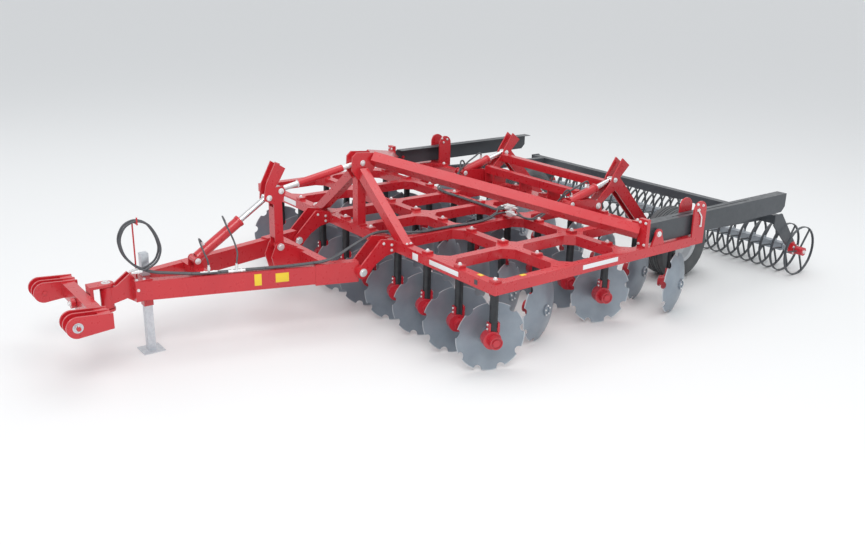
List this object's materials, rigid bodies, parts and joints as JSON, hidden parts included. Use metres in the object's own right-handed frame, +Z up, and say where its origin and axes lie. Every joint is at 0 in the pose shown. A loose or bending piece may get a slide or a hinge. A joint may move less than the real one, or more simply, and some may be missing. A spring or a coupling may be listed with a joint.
{
  "type": "trailed disc harrow",
  "caption": "Trailed compact disc harrow with four rows of notched discs on single legs, folding drawbar linkage, wheels on a lifting axle and a rear ring roller.",
  "frame": {"origin": "on the ground under the middle of the whole machine", "axes": "-Y is the direction of travel, towards the hitch; +X is the machine's left side; +Z is up"},
  "size_m": [4.5604, 8.3739, 1.639],
  "materials": {
    "red_paint": "gloss red paint",
    "disc_steel": "bare rolled disc steel",
    "leg_steel": "dark forged leg with grey hub casting",
    "rod_chrome": "hard chromed rod",
    "zinc": "galvanised steel",
    "tyre": "black rubber",
    "rim": "silver wheel paint",
    "dark_paint": "anthracite paint",
    "hose": "black hydraulic hose"
  },
  "bodies": {
    "frame": {"main_frame": "red_paint", "mast": "red_paint", "disc_legs": "leg_steel", "roller_frame": "dark_paint", "frame_hoses": "hose"},
    "drawbar": {"drawbar": "red_paint", "drawbar_hoses": "hose"},
    "jack": {"jack_leg": "zinc"},
    "hitch_head": {"hitch_head": "red_paint"},
    "hitch_yoke": {"hitch_yoke": "red_paint"},
    "lever": {"level_lever": "red_paint"},
    "front_barrel": {"front_barrel": "red_paint"},
    "front_rod": {"front_rod": "rod_chrome"},
    "top_link": {"top_link": "red_paint"},
    "axle": {"axle": "red_paint"},
    "rear_barrels": {"rear_barrels": "red_paint"},
    "rear_rods": {"rear_rods": "rod_chrome"},
    "wheel_left": {"tyre_left": "tyre", "rim_left": "rim"},
    "wheel_right": {"tyre_right": "tyre", "rim_right": "rim"},
    "roller": {"roller": "dark_paint"},
    "panel_left": {"panel_left": "dark_paint"},
    "panel_right": {"panel_right": "dark_paint"},
    "disc_1_1": {"disc_1_1": "disc_steel"},
    "disc_1_2": {"disc_1_2": "disc_steel"},
    "disc_1_3": {"disc_1_3": "disc_steel"},
    "disc_1_4": {"disc_1_4": "disc_steel"},
    "disc_1_5": {"disc_1_5": "disc_steel"},
    "disc_1_6": {"disc_1_6": "disc_steel"},
    "disc_1_7": {"disc_1_7": "disc_steel"},
    "disc_1_8": {"disc_1_8": "disc_steel"},
    "disc_1_9": {"disc_1_9": "disc_steel"},
    "disc_2_1": {"disc_2_1": "disc_steel"},
    "disc_2_2": {"disc_2_2": "disc_steel"},
    "disc_2_3": {"disc_2_3": "disc_steel"},
    "disc_2_4": {"disc_2_4": "disc_steel"},
    "disc_2_5": {"disc_2_5": "disc_steel"},
    "disc_2_6": {"disc_2_6": "disc_steel"},
    "disc_2_7": {"disc_2_7": "disc_steel"},
    "disc_2_8": {"disc_2_8": "disc_steel"},
    "disc_2_9": {"disc_2_9": "disc_steel"},
    "disc_3_1": {"disc_3_1": "disc_steel"},
    "disc_3_2": {"disc_3_2": "disc_steel"},
    "disc_3_3": {"disc_3_3": "disc_steel"},
    "disc_3_4": {"disc_3_4": "disc_steel"},
    "disc_3_5": {"disc_3_5": "disc_steel"},
    "disc_3_6": {"disc_3_6": "disc_steel"},
    "disc_3_7": {"disc_3_7": "disc_steel"},
    "disc_3_8": {"disc_3_8": "disc_steel"},
    "disc_3_9": {"disc_3_9": "disc_steel"},
    "disc_4_1": {"disc_4_1": "disc_steel"},
    "disc_4_2": {"disc_4_2": "disc_steel"},
    "disc_4_3": {"disc_4_3": "disc_steel"},
    "disc_4_4": {"disc_4_4": "disc_steel"},
    "disc_4_5": {"disc_4_5": "disc_steel"},
    "disc_4_6": {"disc_4_6": "disc_steel"},
    "disc_4_7": {"disc_4_7": "disc_steel"},
    "disc_4_8": {"disc_4_8": "disc_steel"},
    "disc_4_9": {"disc_4_9": "disc_steel"}
  },
  "joints": [
    {"name": "drawbar_pitch", "type": "hinge", "parent": "frame", "child": "drawbar", "pos_m": [0, -1.431, 0.612], "axis": [1, 0, 0], "range_deg": [-7, 7]},
    {"name": "lever_tilt", "type": "hinge", "parent": "drawbar", "child": "lever", "pos_m": [0, -1.975, 0.796], "axis": [1, 0, 0], "range_deg": [-11.09, 11.09]},
    {"name": "top_link_swing", "type": "hinge", "parent": "frame", "child": "top_link", "pos_m": [0, -1.001, 1.527], "axis": [1, 0, 0], "range_deg": [-4.38, 4.38]},
    {"name": "front_barrel_swing", "type": "hinge", "parent": "drawbar", "child": "front_barrel", "pos_m": [0, -2.833, 0.8], "axis": [1, 0, 0], "range_deg": [-2.37, 2.37]},
    {"name": "front_rod_slide", "type": "slide", "parent": "front_barrel", "child": "front_rod", "axis": [0, 0.8372, 0.5468], "range_m": [-0.092, 0.092]},
    {"name": "jack_slide", "type": "slide", "parent": "drawbar", "child": "jack", "axis": [0, 0, 1], "range_m": [0, 0.25]},
    {"name": "hitch_yaw", "type": "hinge", "parent": "drawbar", "child": "hitch_head", "pos_m": [0, -3.668, 0.6], "axis": [0, 0, 1], "range_deg": [-40, 40]},
    {"name": "hitch_roll", "type": "hinge", "parent": "hitch_head", "child": "hitch_yoke", "pos_m": [0, -3.888, 0.6], "axis": [0, 1, 0], "range_deg": [-10, 10]},
    {"name": "axle_lift", "type": "hinge", "parent": "frame", "child": "axle", "pos_m": [0, 1.54, 0.93], "axis": [1, 0, 0], "range_deg": [-12, 8]},
    {"name": "rear_barrels_swing", "type": "hinge", "parent": "frame", "child": "rear_barrels", "pos_m": [0, 1.12, 1.001], "axis": [1, 0, 0], "range_deg": [-5.79, 3.87]},
    {"name": "rear_rods_slide", "type": "slide", "parent": "rear_barrels", "child": "rear_rods", "axis": [0, 0.9653, 0.2611], "range_m": [-0.028, 0.039]},
    {"name": "wheel_left_spin", "type": "hinge", "parent": "axle", "child": "wheel_left", "pos_m": [1.31, 2.582, 0.412], "axis": [1, 0, 0], "continuous": true},
    {"name": "wheel_right_spin", "type": "hinge", "parent": "axle", "child": "wheel_right", "pos_m": [-1.31, 2.582, 0.412], "axis": [1, 0, 0], "continuous": true},
    {"name": "roller_spin", "type": "hinge", "parent": "frame", "child": "roller", "pos_m": [0, 3.887, 0.3], "axis": [1, 0, 0], "continuous": true},
    {"name": "panel_left_lift", "type": "hinge", "parent": "frame", "child": "panel_left", "pos_m": [2.2, 1.092, 0.975], "axis": [1, 0, 0], "range_deg": [0, 45]},
    {"name": "panel_right_lift", "type": "hinge", "parent": "frame", "child": "panel_right", "pos_m": [-2.2, 1.092, 0.975], "axis": [1, 0, 0], "range_deg": [0, 45]},
    {"name": "disc_1_1_spin", "type": "hinge", "parent": "frame", "child": "disc_1_1", "pos_m": [2.19, -1.008, 0.33], "axis": [0.9397, -0.342, 0], "continuous": true},
    {"name": "disc_1_2_spin", "type": "hinge", "parent": "frame", "child": "disc_1_2", "pos_m": [1.698, -1.008, 0.33], "axis": [0.9397, -0.342, 0], "continuous": true},
    {"name": "disc_1_3_spin", "type": "hinge", "parent": "frame", "child": "disc_1_3", "pos_m": [1.206, -1.008, 0.33], "axis": [0.9397, -0.342, 0], "continuous": true},
    {"name": "disc_1_4_spin", "type": "hinge", "parent": "frame", "child": "disc_1_4", "pos_m": [0.714, -1.008, 0.33], "axis": [0.9397, -0.342, 0], "continuous": true},
    {"name": "disc_1_5_spin", "type": "hinge", "parent": "frame", "child": "disc_1_5", "pos_m": [0.222, -1.008, 0.33], "axis": [0.9397, -0.342, 0], "continuous": true},
    {"name": "disc_1_6_spin", "type": "hinge", "parent": "frame", "child": "disc_1_6", "pos_m": [-0.27, -1.008, 0.33], "axis": [0.9397, -0.342, 0], "continuous": true},
    {"name": "disc_1_7_spin", "type": "hinge", "parent": "frame", "child": "disc_1_7", "pos_m": [-0.762, -1.008, 0.33], "axis": [0.9397, -0.342, 0], "continuous": true},
    {"name": "disc_1_8_spin", "type": "hinge", "parent": "frame", "child": "disc_1_8", "pos_m": [-1.254, -1.008, 0.33], "axis": [0.9397, -0.342, 0], "continuous": true},
    {"name": "disc_1_9_spin", "type": "hinge", "parent": "frame", "child": "disc_1_9", "pos_m": [-1.746, -1.008, 0.33], "axis": [0.9397, -0.342, 0], "continuous": true},
    {"name": "disc_2_1_spin", "type": "hinge", "parent": "frame", "child": "disc_2_1", "pos_m": [1.821, -0.163, 0.33], "axis": [-0.9397, -0.342, 0], "continuous": true},
    {"name": "disc_2_2_spin", "type": "hinge", "parent": "frame", "child": "disc_2_2", "pos_m": [1.329, -0.163, 0.33], "axis": [-0.9397, -0.342, 0], "continuous": true},
    {"name": "disc_2_3_spin", "type": "hinge", "parent": "frame", "child": "disc_2_3", "pos_m": [0.837, -0.163, 0.33], "axis": [-0.9397, -0.342, 0], "continuous": true},
    {"name": "disc_2_4_spin", "type": "hinge", "parent": "frame", "child": "disc_2_4", "pos_m": [0.345, -0.163, 0.33], "axis": [-0.9397, -0.342, 0], "continuous": true},
    {"name": "disc_2_5_spin", "type": "hinge", "parent": "frame", "child": "disc_2_5", "pos_m": [-0.147, -0.163, 0.33], "axis": [-0.9397, -0.342, 0], "continuous": true},
    {"name": "disc_2_6_spin", "type": "hinge", "parent": "frame", "child": "disc_2_6", "pos_m": [-0.639, -0.163, 0.33], "axis": [-0.9397, -0.342, 0], "continuous": true},
    {"name": "disc_2_7_spin", "type": "hinge", "parent": "frame", "child": "disc_2_7", "pos_m": [-1.131, -0.163, 0.33], "axis": [-0.9397, -0.342, 0], "continuous": true},
    {"name": "disc_2_8_spin", "type": "hinge", "parent": "frame", "child": "disc_2_8", "pos_m": [-1.623, -0.163, 0.33], "axis": [-0.9397, -0.342, 0], "continuous": true},
    {"name": "disc_2_9_spin", "type": "hinge", "parent": "frame", "child": "disc_2_9", "pos_m": [-2.115, -0.163, 0.33], "axis": [-0.9397, -0.342, 0], "continuous": true},
    {"name": "disc_3_1_spin", "type": "hinge", "parent": "frame", "child": "disc_3_1", "pos_m": [1.944, 0.677, 0.33], "axis": [0.9397, -0.342, 0], "continuous": true},
    {"name": "disc_3_2_spin", "type": "hinge", "parent": "frame", "child": "disc_3_2", "pos_m": [1.452, 0.677, 0.33], "axis": [0.9397, -0.342, 0], "continuous": true},
    {"name": "disc_3_3_spin", "type": "hinge", "parent": "frame", "child": "disc_3_3", "pos_m": [0.96, 0.677, 0.33], "axis": [0.9397, -0.342, 0], "continuous": true},
    {"name": "disc_3_4_spin", "type": "hinge", "parent": "frame", "child": "disc_3_4", "pos_m": [0.468, 0.677, 0.33], "axis": [0.9397, -0.342, 0], "continuous": true},
    {"name": "disc_3_5_spin", "type": "hinge", "parent": "frame", "child": "disc_3_5", "pos_m": [-0.024, 0.677, 0.33], "axis": [0.9397, -0.342, 0], "continuous": true},
    {"name": "disc_3_6_spin", "type": "hinge", "parent": "frame", "child": "disc_3_6", "pos_m": [-0.516, 0.677, 0.33], "axis": [0.9397, -0.342, 0], "continuous": true},
    {"name": "disc_3_7_spin", "type": "hinge", "parent": "frame", "child": "disc_3_7", "pos_m": [-1.008, 0.677, 0.33], "axis": [0.9397, -0.342, 0], "continuous": true},
    {"name": "disc_3_8_spin", "type": "hinge", "parent": "frame", "child": "disc_3_8", "pos_m": [-1.5, 0.677, 0.33], "axis": [0.9397, -0.342, 0], "continuous": true},
    {"name": "disc_3_9_spin", "type": "hinge", "parent": "frame", "child": "disc_3_9", "pos_m": [-1.992, 0.677, 0.33], "axis": [0.9397, -0.342, 0], "continuous": true},
    {"name": "disc_4_1_spin", "type": "hinge", "parent": "frame", "child": "disc_4_1", "pos_m": [2.067, 1.562, 0.33], "axis": [-0.9397, -0.342, 0], "continuous": true},
    {"name": "disc_4_2_spin", "type": "hinge", "parent": "frame", "child": "disc_4_2", "pos_m": [1.575, 1.562, 0.33], "axis": [-0.9397, -0.342, 0], "continuous": true},
    {"name": "disc_4_3_spin", "type": "hinge", "parent": "frame", "child": "disc_4_3", "pos_m": [1.083, 1.562, 0.33], "axis": [-0.9397, -0.342, 0], "continuous": true},
    {"name": "disc_4_4_spin", "type": "hinge", "parent": "frame", "child": "disc_4_4", "pos_m": [0.591, 1.562, 0.33], "axis": [-0.9397, -0.342, 0], "continuous": true},
    {"name": "disc_4_5_spin", "type": "hinge", "parent": "frame", "child": "disc_4_5", "pos_m": [0.099, 1.562, 0.33], "axis": [-0.9397, -0.342, 0], "continuous": true},
    {"name": "disc_4_6_spin", "type": "hinge", "parent": "frame", "child": "disc_4_6", "pos_m": [-0.393, 1.562, 0.33], "axis": [-0.9397, -0.342, 0], "continuous": true},
    {"name": "disc_4_7_spin", "type": "hinge", "parent": "frame", "child": "disc_4_7", "pos_m": [-0.885, 1.562, 0.33], "axis": [-0.9397, -0.342, 0], "continuous": true},
    {"name": "disc_4_8_spin", "type": "hinge", "parent": "frame", "child": "disc_4_8", "pos_m": [-1.377, 1.562, 0.33], "axis": [-0.9397, -0.342, 0], "continuous": true},
    {"name": "disc_4_9_spin", "type": "hinge", "parent": "frame", "child": "disc_4_9", "pos_m": [-1.869, 1.562, 0.33], "axis": [-0.9397, -0.342, 0], "continuous": true}
  ],
  "couplings": [
    {"joint": "lever_tilt", "follows": "drawbar_pitch", "ratio": -1.5215},
    {"joint": "top_link_swing", "follows": "drawbar_pitch", "ratio": 0.60048},
    {"joint": "front_barrel_swing", "follows": "drawbar_pitch", "ratio": -0.32377},
    {"joint": "front_rod_slide", "follows": "drawbar_pitch", "m_per_rad": 0.71789},
    {"joint": "rear_barrels_swing", "follows": "axle_lift", "ratio": 0.46342},
    {"joint": "rear_rods_slide", "follows": "axle_lift", "m_per_rad": -0.16929}
  ]
}
